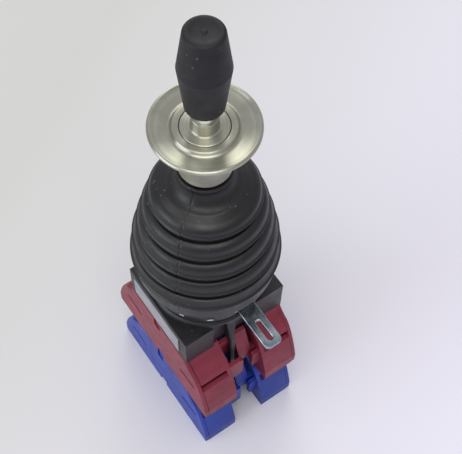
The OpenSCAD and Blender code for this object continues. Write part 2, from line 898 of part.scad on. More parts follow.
// A flat lug that stands out from a column's inner side at x0, with round corners at x1.
module lug(x0, x1, y, z0, z1) {
    side = sign(x1 - x0);
    round_r = lug_t * 0.7;
    corners = concat(
        arc([x1 - round_r * side, z0 + round_r], round_r, -90, side > 0 ? 0 : -180, 4),
        arc([x1 - round_r * side, z1 - round_r], round_r, side > 0 ? 0 : 180, 90, 4)
    );
    translate([0, y + lug_t, 0])
        rotate([90, 0, 0])
            linear_extrude(lug_t)
                polygon(concat([[x0, z0]], corners, [[x0, z1]]));
}

module red_left_case() block_case(false, red_z, "#a03048");
module red_right_case() block_case(true, red_z, "#a03048");
module blue_left_case() block_case(false, blue_z, "#1f45b0");
module blue_right_case() block_case(true, blue_z, "#1f45b0");
module red_left_cover() block_cover(false, red_z, "#a83c52");
module red_right_cover() block_cover(true, red_z, "#a83c52");
module blue_left_cover() block_cover(false, blue_z, "#2a50bc");
module blue_right_cover() block_cover(true, blue_z, "#2a50bc");
module red_left_plunger() block_plunger(false, red_z, 0);
module red_right_plunger() block_plunger(true, red_z, 0);
module blue_left_plunger() block_plunger(false, blue_z, -push_arm);
module blue_right_plunger() block_plunger(true, blue_z, -push_arm);
module red_left_bridge() block_bridge(false, red_z);
module red_right_bridge() block_bridge(true, red_z);
module blue_left_bridge() block_bridge(false, blue_z);
module blue_right_bridge() block_bridge(true, blue_z);
module red_left_spring() block_spring(false, red_z);
module red_right_spring() block_spring(true, red_z);
module blue_left_spring() block_spring(false, blue_z);
module blue_right_spring() block_spring(true, blue_z);
module red_latches() layer_latches(red_z, "#a03048");
module blue_latches() layer_latches(blue_z, "#1f45b0");

// A rod that carries a crossing pusher's travel through an upper block to the lower one.
module link_rod(right) {
    color("#e4e2d8")
        place(right, red_z)
            translate([plunger_x, -push_arm, head_up - block_h])
                cylinder(r = push_r, h = block_h);
}

module link_rod_front() link_rod(true);
module link_rod_back() link_rod(false);

// The red contacts rest closed, the blue ones rest open.
module red_terminals() {
    for (right = [true, false])
        block_terminals(right, red_z, strip_down - 2.2, strip_low + 0.8, strip_down - 2.2 - contact_t);
}

module blue_terminals() {
    for (right = [true, false])
        block_terminals(right, blue_z, strip_low + open_gap, strip_low + open_gap + 2.6,
                        strip_low + open_gap + 1.9);
}

knob();
knob_insert();
lever_shaft();
spring_cap();
lever_pin();
foot_plate();
foot_nut();
lock_ring();
lock_tube();
lock_spring();
gimbal_ring();
boot();
operator_housing();
gate_plate();
gate_screws();
gimbal_pins();
mounting_barrel();
housing_screws();
panel_gasket();
ring_nut();
pusher_guide();
centring_spring();
adaptor();
adaptor_tongues();
label_plate();
locking_lever();
pusher_left();
pusher_right();
pusher_front();
pusher_back();
link_rod_front();
link_rod_back();
red_left_case();
red_right_case();
blue_left_case();
blue_right_case();
red_left_cover();
red_right_cover();
blue_left_cover();
blue_right_cover();
red_left_plunger();
red_right_plunger();
blue_left_plunger();
blue_right_plunger();
red_left_bridge();
red_right_bridge();
blue_left_bridge();
blue_right_bridge();
red_left_spring();
red_right_spring();
blue_left_spring();
blue_right_spring();
red_terminals();
blue_terminals();
terminal_clamps();
terminal_screws();
red_latches();
blue_latches();
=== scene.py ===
"""Looks of a four-way panel joystick: knob, lift-to-unlock ring, rubber boot, adaptor and contact blocks.

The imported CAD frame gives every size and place. This file dresses it: it draws the turned and moulded pieces
that need finer surfaces than the frame has, gives every piece its material, and sets up a plain pale studio.
It is laid out as an add-on, with one operator for each piece or group of like pieces, and is run as a script.
"""

import math

import bpy
import numpy as np
from bpy.props import FloatProperty, FloatVectorProperty, IntProperty, PointerProperty
from mathutils import Matrix, Vector


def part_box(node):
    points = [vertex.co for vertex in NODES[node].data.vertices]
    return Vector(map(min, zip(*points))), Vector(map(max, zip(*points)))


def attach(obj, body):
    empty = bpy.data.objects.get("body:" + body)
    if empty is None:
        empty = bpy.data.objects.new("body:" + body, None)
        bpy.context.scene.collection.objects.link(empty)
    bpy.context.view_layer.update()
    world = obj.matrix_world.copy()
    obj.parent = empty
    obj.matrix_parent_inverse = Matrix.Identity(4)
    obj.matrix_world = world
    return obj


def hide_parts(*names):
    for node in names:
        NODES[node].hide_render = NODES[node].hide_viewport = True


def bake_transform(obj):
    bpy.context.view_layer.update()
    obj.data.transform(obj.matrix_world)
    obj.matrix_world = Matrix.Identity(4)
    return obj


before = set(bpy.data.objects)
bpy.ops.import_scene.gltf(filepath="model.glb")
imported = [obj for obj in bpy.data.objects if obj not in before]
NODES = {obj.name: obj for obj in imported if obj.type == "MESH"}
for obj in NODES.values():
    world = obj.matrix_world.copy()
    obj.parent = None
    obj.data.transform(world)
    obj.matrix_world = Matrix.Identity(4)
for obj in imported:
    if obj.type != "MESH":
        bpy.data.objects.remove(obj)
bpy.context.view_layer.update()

bl_info = {
    "name": "Panel joystick",
    "version": (1, 0, 0),
    "blender": (4, 5, 0),
    "location": "3D View > Sidebar > Joystick",
    "description": "Draws and finishes the pieces of a panel joystick with four contact blocks",
    "category": "Object",
}

MM = 0.001


# ---- Small tools ----


def linear(code):
    """Linear RGBA of an sRGB hex colour, or of a settings colour, which is linear already."""
    if not isinstance(code, str):
        return (*code, 1.0)
    parts = [int(code[i : i + 2], 16) / 255 for i in (0, 2, 4)]
    return tuple(p / 12.92 if p <= 0.04045 else ((p + 0.055) / 1.055) ** 2.4 for p in parts) + (1.0,)


def low(node):
    """Lowest corner of a frame node, in millimetres."""
    return np.array(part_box(node)[0]) / MM


def high(node):
    """Highest corner of a frame node, in millimetres."""
    return np.array(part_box(node)[1]) / MM


def line(start, end, count=2):
    """Evenly spaced points from start to end."""
    t = np.linspace(0, 1, count)[:, None]
    return np.array(start, float) * (1 - t) + np.array(end, float) * t


def arc(centre, radius, first, last, count=9):
    """Points on a circle about centre: centre + radius (cos a, sin a), a running from first to last degrees."""
    a = np.radians(np.linspace(first, last, count))
    return np.array(centre, float) + radius * np.stack([np.cos(a), np.sin(a)], 1)


def curve(start, pull, end, count=9):
    """Quadratic curve (1-t)^2 start + 2t(1-t) pull + t^2 end, which leaves start towards pull."""
    t = np.linspace(0, 1, count)[:, None]
    start, pull, end = (np.array(p, float) for p in (start, pull, end))
    return (1 - t) ** 2 * start + 2 * t * (1 - t) * pull + t**2 * end


def smooth(x, lo, hi):
    """0 below lo, 1 above hi, and 3t^2 - 2t^3 between them."""
    t = np.clip((x - lo) / (hi - lo), 0, 1)
    return t * t * (3 - 2 * t)


def skin(name, grid, ring=False, low_pole=None, high_pole=None, crease=32):
    """Mesh object over a grid of points in millimetres, rows by columns, whose columns close round the axis.

    A ring's last row also closes onto its first. A pole is the height at which an end row closes on the axis.
    Its UV map "turning" runs round the columns in U and along the rows in V.
    Rows run upwards on an outer face and columns anticlockwise, so faces point outwards.
    """
    rows, columns = grid.shape[:2]
    index = np.arange(rows * columns).reshape(rows, columns)
    beside = np.roll(index, -1, axis=1)
    above = np.roll(index, -1, axis=0)
    above_beside = np.roll(beside, -1, axis=0)
    span = rows if ring else rows - 1
    faces = np.stack([index, beside, above_beside, above], -1)[:span].reshape(-1, 4).tolist()
    points = grid.reshape(-1, 3)
    for height, row, turn in ((low_pole, 0, 1), (high_pole, rows - 1, -1)):
        if height is not None:
            pole = np.full(columns, len(points))
            points = np.vstack([points, [[0, 0, height]]])
            pair = (beside[row], index[row]) if turn > 0 else (index[row], beside[row])
            faces += np.stack([pole, *pair], -1).tolist()
    mesh = bpy.data.meshes.new(name)
    mesh.from_pydata((points * MM).tolist(), [], faces)
    corner = np.empty(len(mesh.loops), np.int32)
    mesh.loops.foreach_get("vertex_index", corner)
    around, along = corner % columns / columns, corner // columns / rows
    quads = 4 * span * columns
    last = np.arange(quads) // 4 % columns == columns - 1
    around[:quads][last & (around[:quads] == 0)] = 1.0
    mesh.uv_layers.new(name="turning").data.foreach_set("uv", np.stack([around, along], 1).astype(np.float32).ravel())
    mesh.shade_smooth()
    mesh.set_sharp_from_angle(angle=math.radians(crease))
    piece = bpy.data.objects.new(name, mesh)
    bpy.context.scene.collection.objects.link(piece)
    return piece


def turned(profile, columns=160):
    """Grid of a profile of (radius, height) rows turned about the Z axis: (r cos a, r sin a, h)."""
    a = np.linspace(0, 2 * np.pi, columns, endpoint=False)
    r, h = profile[:, :1], profile[:, 1:]
    return np.stack([r * np.cos(a), r * np.sin(a), h + 0 * a], -1)


def finish_piece(piece, body, material, slot, *replaced):
    """Gives a new piece its material and the body that it moves with, and lets it stand for frame nodes."""
    piece.data.materials.append(material)
    if body:
        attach(piece, body)
    if replaced:
        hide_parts(*replaced)
    return piece


def dress(names, material, edge=0.0, segments=2, angle=35, rounded=0):
    """Puts a material on frame nodes, and softens their edges by edge millimetres."""
    for name in names:
        piece = NODES[name]
        for held in piece.material_slots:
            held.material = material
        if edge or rounded:
            weld = piece.modifiers.new("weld", "WELD")
            weld.merge_threshold = 0.002 * MM
        if edge:
            bevel = piece.modifiers.new("edge", "BEVEL")
            bevel.width = edge * MM
            bevel.segments = segments
            bevel.limit_method = "ANGLE"
            bevel.angle_limit = math.radians(angle)
            bevel.harden_normals = True
            bevel.use_clamp_overlap = True
        if rounded:
            round_off = piece.modifiers.new("round", "SUBSURF")
            round_off.levels = rounded
            round_off.render_levels = rounded


# ---- Materials ----


def add_node(tree, kind, inputs=None, **settings):
    """Adds a node with its settings. An input given a socket is linked to it, and any other value is set."""
    node = tree.nodes.new(kind)
    for name, value in settings.items():
        setattr(node, name, value)
    for name, value in (inputs or {}).items():
        if isinstance(value, bpy.types.NodeSocket):
            tree.links.new(value, node.inputs[name])
        else:
            node.inputs[name].default_value = value
    return node


def per(millimetres):
    """Texture scale of a pattern whose repeat is that many millimetres, for coordinates in metres."""
    return 1 / (millimetres * MM)


def start_material(name, **sockets):
    """New material with a Principled shader whose constant values are given, its tree and Object coordinates."""
    material = bpy.data.materials.new(name)
    material.use_nodes = True
    tree = material.node_tree
    tree.nodes.clear()
    shader = add_node(tree, "ShaderNodeBsdfPrincipled", sockets)
    add_node(tree, "ShaderNodeOutputMaterial", {"Surface": shader.outputs["BSDF"]})
    place = add_node(tree, "ShaderNodeTexCoord").outputs["Object"]
    return material, tree, shader, place


def moulded(name, deep, pale, rough, cloud=7.0, grain=0.35, depth=0.02, dust=0.0, dust_colour="8d8f93", **sockets):
    """Moulded plastic or rubber: a cloudy colour, a fine spark-eroded grain, smudged gloss and a little dust.

    deep and pale bound the colour, rough its roughness, cloud and grain are pattern sizes in millimetres, depth
    is the grain's height in millimetres, and dust is the share of the surface under pale specks.
    """
    material, tree, shader, place = start_material(name, **sockets)
    clouds = add_node(
        tree, "ShaderNodeTexNoise", {"Vector": place, "Scale": per(cloud), "Detail": 5.0, "Roughness": 0.6}
    )
    spread = add_node(
        tree, "ShaderNodeMapRange", {"Value": clouds.outputs["Fac"], "From Min": 0.32, "From Max": 0.68}
    )
    colour = add_node(
        tree,
        "ShaderNodeMix",
        {0: spread.outputs["Result"], 6: linear(deep), 7: linear(pale)},
        data_type="RGBA",
    ).outputs[2]
    if dust:
        cells = add_node(tree, "ShaderNodeTexVoronoi", {"Vector": place, "Scale": per(1.5), "Randomness": 1.0})
        near = add_node(
            tree,
            "ShaderNodeMapRange",
            {"Value": cells.outputs["Distance"], "From Min": 0.16, "From Max": 0.05, "To Max": dust},
        )
        patch = add_node(tree, "ShaderNodeTexNoise", {"Vector": place, "Scale": per(5.0), "Detail": 2.0})
        where = add_node(
            tree,
            "ShaderNodeMapRange",
            {"Value": patch.outputs["Fac"], "From Min": 0.5, "From Max": 0.62, "To Max": near.outputs["Result"]},
        )
        colour = add_node(
            tree,
            "ShaderNodeMix",
            {0: where.outputs["Result"], 6: colour, 7: linear(dust_colour)},
            data_type="RGBA",
        ).outputs[2]
    tree.links.new(colour, shader.inputs["Base Color"])
    smudge = add_node(tree, "ShaderNodeTexNoise", {"Vector": place, "Scale": per(2.6), "Detail": 4.0})
    gloss = add_node(
        tree,
        "ShaderNodeMapRange",
        {
            "Value": smudge.outputs["Fac"],
            "From Min": 0.3,
            "From Max": 0.7,
            "To Min": rough - 0.06,
            "To Max": rough + 0.07,
        },
    )
    tree.links.new(gloss.outputs["Result"], shader.inputs["Roughness"])
    pits = add_node(tree, "ShaderNodeTexNoise", {"Vector": place, "Scale": per(grain), "Detail": 3.0})
    bump = add_node(tree, "ShaderNodeBump", {"Height": pits.outputs["Fac"], "Strength": 0.6, "Distance": depth * MM})
    tree.links.new(bump.outputs["Normal"], shader.inputs["Normal"])
    return material


def metal(name, deep, pale, rough, cloud=4.0, streak=(0.25, 0.25, 0.25), depth=0.004, spread=0.05, **sockets):
    """Bare or plated metal: a slightly uneven tint, and fine tool marks that are streak millimetres along X, Y, Z."""
    material, tree, shader, place = start_material(name, Metallic=1.0, **sockets)
    clouds = add_node(tree, "ShaderNodeTexNoise", {"Vector": place, "Scale": per(cloud), "Detail": 4.0})
    range_ = add_node(tree, "ShaderNodeMapRange", {"Value": clouds.outputs["Fac"], "From Min": 0.35, "From Max": 0.65})
    tint = add_node(
        tree, "ShaderNodeMix", {0: range_.outputs["Result"], 6: linear(deep), 7: linear(pale)}, data_type="RGBA"
    )
    tree.links.new(tint.outputs[2], shader.inputs["Base Color"])
    stretch = add_node(tree, "ShaderNodeMapping", {"Vector": place, "Scale": tuple(per(s) for s in streak)})
    marks = add_node(tree, "ShaderNodeTexNoise", {"Vector": stretch.outputs["Vector"], "Scale": 1.0, "Detail": 3.0})
    gloss = add_node(
        tree,
        "ShaderNodeMapRange",
        {
            "Value": marks.outputs["Fac"],
            "From Min": 0.3,
            "From Max": 0.7,
            "To Min": rough - spread,
            "To Max": rough + spread,
        },
    )
    tree.links.new(gloss.outputs["Result"], shader.inputs["Roughness"])
    bump = add_node(tree, "ShaderNodeBump", {"Height": marks.outputs["Fac"], "Strength": 0.5, "Distance": depth * MM})
    tree.links.new(bump.outputs["Normal"], shader.inputs["Normal"])
    return material


def lathe_marks(name, deep, pale, rough, pitch=0.3, depth=0.006, fan=0.0, **sockets):
    """Turned metal: fine circles about the axis, a pattern of the distance from the axis and the height alone.

    Below the circles that show lie finer ones, which spread the gloss towards and away from the axis: fan is that
    anisotropy, from 0 to 1, and draws a highlight out into a bow tie. It needs the piece's UV map "turning".
    """
    material, tree, shader, place = start_material(name, Metallic=1.0, Anisotropic=fan, **sockets)
    if fan:
        shader.inputs["Anisotropic Rotation"].default_value = 0.25
        add_node(tree, "ShaderNodeTangent", direction_type="UV_MAP", uv_map="turning")
        tree.links.new(tree.nodes["Tangent"].outputs["Tangent"], shader.inputs["Tangent"])
    split = add_node(tree, "ShaderNodeSeparateXYZ", {"Vector": place})
    flat = add_node(tree, "ShaderNodeCombineXYZ", {"X": split.outputs["X"], "Y": split.outputs["Y"]})
    radius = add_node(tree, "ShaderNodeVectorMath", {0: flat.outputs["Vector"]}, operation="LENGTH")
    across = add_node(tree, "ShaderNodeCombineXYZ", {"X": radius.outputs["Value"], "Y": split.outputs["Z"]})
    rings = add_node(
        tree, "ShaderNodeTexNoise", {"Vector": across.outputs["Vector"], "Scale": per(pitch), "Detail": 4.0}
    )
    clouds = add_node(tree, "ShaderNodeTexNoise", {"Vector": place, "Scale": per(5.0), "Detail": 4.0})
    both = add_node(
        tree, "ShaderNodeMath", {0: rings.outputs["Fac"], 1: clouds.outputs["Fac"]}, operation="MULTIPLY"
    )
    range_ = add_node(tree, "ShaderNodeMapRange", {"Value": both.outputs["Value"], "From Min": 0.12, "From Max": 0.4})
    tint = add_node(
        tree, "ShaderNodeMix", {0: range_.outputs["Result"], 6: linear(deep), 7: linear(pale)}, data_type="RGBA"
    )
    tree.links.new(tint.outputs[2], shader.inputs["Base Color"])
    gloss = add_node(
        tree,
        "ShaderNodeMapRange",
        {
            "Value": clouds.outputs["Fac"],
            "From Min": 0.3,
            "From Max": 0.7,
            "To Min": rough - 0.04,
            "To Max": rough + 0.05,
        },
    )
    tree.links.new(gloss.outputs["Result"], shader.inputs["Roughness"])
    bump = add_node(tree, "ShaderNodeBump", {"Height": rings.outputs["Fac"], "Strength": 0.7, "Distance": depth * MM})
    tree.links.new(bump.outputs["Normal"], shader.inputs["Normal"])
    return material


# ---- Settings ----

KNOB_LOW, KNOB_HIGH = low("knob"), high("knob")
RING_LOW, RING_HIGH = low("lock_ring"), high("lock_ring")
BOOT_HIGH = high("boot")
SHAFT_R = 2.6
FREE_GAP = 0.3


class KnobSettings(bpy.types.PropertyGroup):
    """Sizes of the finger knob."""

    top_radius: FloatProperty(name="Top radius", description="Radius of the flat top", default=4.0 * MM, unit="LENGTH")
    ridge_radius: FloatProperty(
        name="Ridge radius", description="Radius of the widest ridge", default=KNOB_HIGH[0] * MM, unit="LENGTH"
    )
    ridge_height: FloatProperty(
        name="Ridge height", description="Height of the ridge over the lower end", default=11.5 * MM, unit="LENGTH"
    )
    foot_radius: FloatProperty(
        name="Foot radius", description="Radius at the lower end", default=4.1 * MM, unit="LENGTH"
    )


class BootSettings(bpy.types.PropertyGroup):
    """Shape of the bellows."""

    folds: IntProperty(name="Folds", description="Number of folds", default=5, min=3, max=7)
    base_radius: FloatProperty(
        name="Base radius", description="Radius of the lowest fold", default=BOOT_HIGH[0] * MM, unit="LENGTH"
    )
    top_radius: FloatProperty(name="Top radius", description="Radius of the top fold", default=12.9 * MM, unit="LENGTH")
    pitch: FloatProperty(name="Fold pitch", description="Height from fold to fold", default=6.0 * MM, unit="LENGTH")
    base_height: FloatProperty(
        name="Base height", description="Height of the lowest fold's ridge", default=6.2 * MM, unit="LENGTH"
    )
    seam_angle: FloatProperty(
        name="Seam angle", description="Direction of the mould seam", default=math.radians(-148), subtype="ANGLE"
    )


class BlockSettings(bpy.types.PropertyGroup):
    """Colours of the contact blocks, each as the two tones that its moulding clouds between."""

    upper_deep: FloatVectorProperty(
        name="Upper deep", description="Deep tone of the upper layer", subtype="COLOR", default=linear("6e1229")[:3]
    )
    upper_pale: FloatVectorProperty(
        name="Upper pale", description="Pale tone of the upper layer", subtype="COLOR", default=linear("861b35")[:3]
    )
    lower_deep: FloatVectorProperty(
        name="Lower deep", description="Deep tone of the lower layer", subtype="COLOR", default=linear("0a2a86")[:3]
    )
    lower_pale: FloatVectorProperty(
        name="Lower pale", description="Pale tone of the lower layer", subtype="COLOR", default=linear("1238a2")[:3]
    )


class StageSettings(bpy.types.PropertyGroup):
    """Studio: camera, floor and lamps."""

    camera_place: FloatVectorProperty(
        name="Camera place", description="Where the camera stands", subtype="TRANSLATION", unit="LENGTH",
        default=(-59.72 * MM, -89.77 * MM, 204.45 * MM),
    )
    heading: FloatProperty(
        name="Heading", description="Turn of the view from +Y towards +X", default=math.radians(36.76), subtype="ANGLE"
    )
    tilt: FloatProperty(
        name="Tilt", description="How far the view looks down", default=math.radians(60.55), subtype="ANGLE"
    )
    roll: FloatProperty(name="Roll", description="Turn about the view", default=math.radians(2.24), subtype="ANGLE")
    lens: FloatProperty(name="Lens", description="Focal length", default=73.31, unit="CAMERA")
    lamp_power: FloatProperty(name="Lamp power", description="Power of the main lamp", default=1.0, unit="POWER")


# ---- Pieces ----


class JOYSTICK_OT_knob(bpy.types.Operator):
    """Draws the knob: two cones that meet in a ridge, with a shallow dish and a small pip on top."""

    bl_idname = "joystick.knob"
    bl_label = "Knob"

    def execute(self, context):
        look = context.scene.joystick_knob
        foot, ridge, top = (v / MM for v in (look.foot_radius, look.ridge_radius, look.top_radius))
        z0, z1 = KNOB_LOW[2], KNOB_HIGH[2]
        zr = z0 + look.ridge_height / MM
        insert = high("knob_insert")
        stud = 2.0
        profile = np.vstack(
            [
                [[stud, z0 + 14.1], [stud, z0 + 13.6], [insert[0], z0 + 13.6], [insert[0], z0]],
                arc([foot - 0.7, z0 + 0.7], 0.7, -90, -8, 8),
                arc([ridge - 0.55, zr], 0.55, -16, 20, 8),
                arc([top - 0.75, z1 - 0.75], 0.75, 14, 88, 9),
                curve([top - 1.1, z1 - 0.02], [top - 1.5, z1 - 0.12], [2.2, z1 - 0.22], 5),
                curve([1.5, z1 - 0.26], [0.9, z1 - 0.3], [0.62, z1 - 0.28], 5),
                curve([0.5, z1 - 0.18], [0.42, z1 - 0.06], [0.2, z1 - 0.05], 4),
            ]
        )
        # Moulded thermoset: matte near black, with soft broad highlights and a little dust.
        black = moulded(
            "moulded_thermoset_knob", "1a1a1d", "232327", 0.55, cloud=3, grain=0.5, depth=0.015, dust=0.4,
            **{"IOR": 1.5, "Specular IOR Level": 0.3},
        )
        piece = skin("knob_grip", turned(profile), low_pole=z0 + 14.1, high_pole=z1 - 0.05)
        finish_piece(piece, "lever", black, "knob_black", "knob")
        # Turned brass bush inside the knob: yellow, with bright tool rings.
        dress(["knob_insert"], lathe_marks("turned_brass", "9c7a35", "c9a557", 0.28), 0.1)
        return {"FINISHED"}


class JOYSTICK_OT_lock_ring(bpy.types.Operator):
    """Draws the lift ring with its rolled rim, the spring cap in it, and finishes the rod and the tube."""

    bl_idname = "joystick.lock_ring"
    bl_label = "Lock ring"

    def execute(self, context):
        rim, hub = RING_HIGH[0], 5.85
        foot, top = RING_LOW[2], RING_HIGH[2]
        tube, bore = high("lock_tube")[0], 5.25
        dish = top - 1.0
        cap_top = 53.9
        ring = np.vstack(
            [
                [[tube, foot]],
                arc([hub - 0.4, foot + 0.4], 0.4, -90, 0, 6),
                curve([hub, dish - 1.9], [hub + 0.05, dish - 1.2], [hub + 0.9, dish - 1.02], 7),
                curve([rim - 2.6, top - 1.28], [rim - 1.3, top - 1.06], [rim - 0.62, top - 1.08], 5),
                arc([rim - 0.55, top - 0.55], 0.55, -80, 95, 13),
                curve([rim - 0.8, top - 0.05], [rim - 0.95, top - 0.2], [rim - 1.2, top - 0.3], 6),
                line([rim - 1.3, top - 0.33], [hub + 2.0, dish + 0.03], 6),
                curve([hub + 1.9, dish], [hub + 1.8, dish - 0.02], [hub + 1.7, dish - 0.02], 3),
                curve([hub + 1.45, dish], [hub + 1.2, dish + 0.04], [hub + 1.0, dish + 0.3], 5),
                curve([hub + 0.8, cap_top - 0.1], [hub + 0.7, cap_top], [hub + 0.5, cap_top], 5),
                arc([bore + 0.18, cap_top - 0.18], 0.18, 90, 180, 5),
                [[bore, foot + 2.7], [tube, foot + 2.7]],
            ]
        )
        # Nickel-plated turned brass: satin champagne, whose highlights the tool marks draw towards the axis.
        plated = lathe_marks("satin_nickel_plate", "a8a898", "c6c6b8", 0.34, pitch=0.35, depth=0.004, fan=0.85)
        piece = skin("lift_ring", turned(ring, 200), ring=True)
        finish_piece(piece, "lock_collar", plated, "satin_aluminium", "lock_ring")
        cap = np.vstack(
            [
                [[SHAFT_R + 0.01, cap_top - 2.4], [bore - 0.1, cap_top - 2.4]],
                arc([bore - 0.38, cap_top - 0.28], 0.28, 0, 90, 6),
                curve([SHAFT_R + 0.75, cap_top], [SHAFT_R + 0.3, cap_top], [SHAFT_R + 0.3, cap_top + 0.45], 6),
                arc([SHAFT_R + 0.12, high("spring_cap")[2] - 0.18], 0.18, 0, 90, 5),
                [[SHAFT_R + 0.01, high("spring_cap")[2]]],
            ]
        )
        piece = skin("cap_bush", turned(cap), ring=True)
        # Bright nickel-plated steel: mirror-like, pale, with hair-fine rings from polishing on the lathe.
        bright = lathe_marks("bright_nickel_plate", "c9ccd0", "eceef0", 0.12, pitch=0.6, depth=0.002)
        finish_piece(piece, "lever", plated, "satin_aluminium", "spring_cap")
        dress(["lever_shaft"], bright)
        # Blackened steel tube: dark, with a low oily sheen.
        dress(["lock_tube"], metal("blackened_steel", "1d1e21", "34363a", 0.38))
        dress(["lock_spring"], spring_steel(), rounded=1)
        return {"FINISHED"}


def spring_steel():
    """Drawn spring wire: grey steel with a dull shine."""
    held = bpy.data.materials.get("drawn_spring_steel")
    return held or metal("drawn_spring_steel", "7d8087", "a9adb4", 0.3, cloud=2)


def plain_steel():
    """Machined steel: mid grey with fine tool marks."""
    held = bpy.data.materials.get("machined_steel")
    return held or metal("machined_steel", "83868b", "b0b3b8", 0.32, streak=(0.15, 0.15, 0.6))


def fold_profile(look):
    """Outer and inner profile rows of the bellows, from the lip at the panel up to the neck, in millimetres.

    Each fold rises from its valley in a short undercut to a thin bead at its widest, draws in over a steep band,
    rolls over a shoulder and runs nearly level to the next valley.
    """
    count = look.folds
    i = np.arange(count)
    base, top, pitch = look.base_radius / MM, look.top_radius / MM, look.pitch / MM
    widest = base - (base - top) * (i / (count - 1)) ** 1.42
    height = look.base_height / MM + pitch * i
    valley = np.stack([widest - 0.95, height - 0.52 * pitch], 1)
    flange, skirt, hole = high("mounting_barrel")[0], high("mounting_barrel")[0] + 1.0, high("lock_tube")[0] + FREE_GAP
    housing_top = 4.4
    outer = [
        [[flange - 1, housing_top + 0.8], [flange - 1, housing_top], [flange, housing_top], [flange, 0.2]],
        arc([skirt - 0.4, 0.6], 0.4, -90, 0, 5),
        curve([skirt, height[0] - 3.2], [skirt, height[0] - 2.4], [widest[0] - 0.28, height[0] - 1.0], 6),
    ]
    for k in range(count):
        r, z = widest[k], height[k]
        if k:
            outer.append(curve(valley[k], [r - 1.02, z - 2.1], [r - 0.34, z - 0.75], 7))
        outer.append(arc([r - 0.3, z - 0.25], 0.3, -55, 75, 8))
        if k < count - 1:
            reach = valley[k + 1]
            outer.append(curve([r - 0.36, z + 0.22], [r - 0.55, z + 0.5], [r - 0.62, z + 0.95], 6))
            outer.append(curve([r - 0.68, z + 1.3], [r - 0.95, z + 2.35], [reach[0] + 0.75, reach[1] - 0.1], 12))
            outer.append(curve([reach[0] + 0.5, reach[1] + 0.02], [reach[0] + 0.2, reach[1] + 0.08], reach, 4))
    r, z = widest[-1], height[-1]
    neck_top = BOOT_HIGH[2]
    cone, lip = z + 2.0, 6.3
    outer += [
        curve([r - 0.36, z + 0.22], [r - 0.5, z + 0.5], [r - 0.58, z + 0.8], 5),
        curve([r - 0.66, z + 1.1], [r - 0.9, z + 1.75], [r - 1.9, cone + 0.25], 9),
        line([r - 2.2, cone + 0.36], [lip + 2.75, cone + 1.42], 8),
        curve([lip + 2.3, cone + 1.52], [lip + 0.1, cone + 2.0], [lip - 0.4, neck_top - 2.0], 12),
        curve([lip - 0.4, neck_top - 1.3], [lip - 0.2, neck_top - 0.95], [lip, neck_top - 0.85], 5),
        arc([lip - 0.35, neck_top - 0.35], 0.35, 0, 90, 6),
        [[hole, neck_top]],
    ]
    inner = [[[hole, neck_top - 1.4]]]
    inner.append([[lip - 1.5, cone + 3.0], [lip + 1.7, cone + 0.4], [r - 2.4, z + 0.9], [r - 1.5, z]])
    for k in range(count - 2, -1, -1):
        inner.append([[valley[k + 1][0] - 1.1, valley[k + 1][1] + 0.3], [widest[k] - 1.45, height[k] + 0.6]])
        inner.append([[widest[k] - 1.45, height[k] - 0.6]])
    return np.vstack(outer), np.vstack(inner), valley


def bellows(look, profile, seam):
    """Grid of part of the bellows, with the mould's seam and small unevenness.

    radius = profile + seam groove + step from one mould half to the other + a slow wave round each fold; columns
    lie close together beside the seam, and the seam wanders a little with height.
    """
    fine = np.radians(np.linspace(-2.2, 2.2, 23))
    wide = np.radians(np.linspace(2.2, 357.8, 210))[1:-1]
    off = np.concatenate([fine, wide])
    r, z = profile[:, :1], profile[:, 1:]
    wander = np.radians(0.5) * np.sin(z * 0.9) + np.radians(-0.12) * (z - 24)
    a = seam + off + wander * np.exp(-((np.degrees(np.minimum(off, 2 * np.pi - off)) / 25) ** 2))
    apart = r * np.minimum(off, 2 * np.pi - off)
    left = np.where(off > np.pi, off - 2 * np.pi, off)
    groove = -0.13 * np.exp(-((apart / 0.16) ** 2))
    step = -0.07 * (smooth(r * left, -0.15, 0.15) - smooth(r * left, 9.0, 26.0)) * (left > -1)
    wave = 0.05 * np.sin(2 * a + z * 0.35) + 0.03 * np.sin(5 * a - z * 0.8)
    free = smooth(z, 5.0, 8.0) * (1 - smooth(z, 33.5, 36.0))
    shift = (groove + step) * smooth(z, 1.0, 3.0) + (wave - 0.08) * free
    sag = 0.05 * np.sin(3 * a + z * 0.5) * free
    rr = r + shift
    return np.stack([rr * np.cos(a), rr * np.sin(a), z + sag], -1)


class JOYSTICK_OT_boot(bpy.types.Operator):
    """Draws the rubber bellows as a lower and an upper half that meet in a valley."""

    bl_idname = "joystick.boot"
    bl_label = "Boot"

    def execute(self, context):
        look = context.scene.joystick_boot
        outer, inner, valley = fold_profile(look)
        split_r, split_z = valley[look.folds - 2]
        rubber = boot_rubber()
        cut = int(np.argmin(np.hypot(outer[:, 0] - split_r, outer[:, 1] - split_z)))
        inner_cut = int(np.argmin(np.hypot(inner[:, 0] - split_r + 1.1, inner[:, 1] - split_z - 0.3)))
        lower = np.vstack([outer[: cut + 1], inner[inner_cut:]])
        upper = np.vstack([outer[cut:], inner[: inner_cut + 1]])
        skirt_z, neck_z = 4.6, 34.5
        for name, rows, bodies, start, end in (
            ("boot_lower", lower, ("root", "gimbal"), skirt_z, split_z),
            ("boot_upper", upper, ("gimbal", "lever"), split_z, neck_z),
        ):
            piece = skin(name, bellows(look, rows, look.seam_angle), ring=True, crease=40)
            finish_piece(piece, None, rubber, "boot_rubber", "boot")
            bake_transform(piece)
        return {"FINISHED"}


def boot_rubber():
    """Moulded black rubber: semi-matte, with a soft broad sheen, smeared handling marks and a few pale specks."""
    return moulded(
        "moulded_black_rubber", "060708", "0e0f11", 0.42, cloud=5, grain=0.4, depth=0.012, dust=0.55,
        dust_colour="7c7e82", IOR=1.52,
    )


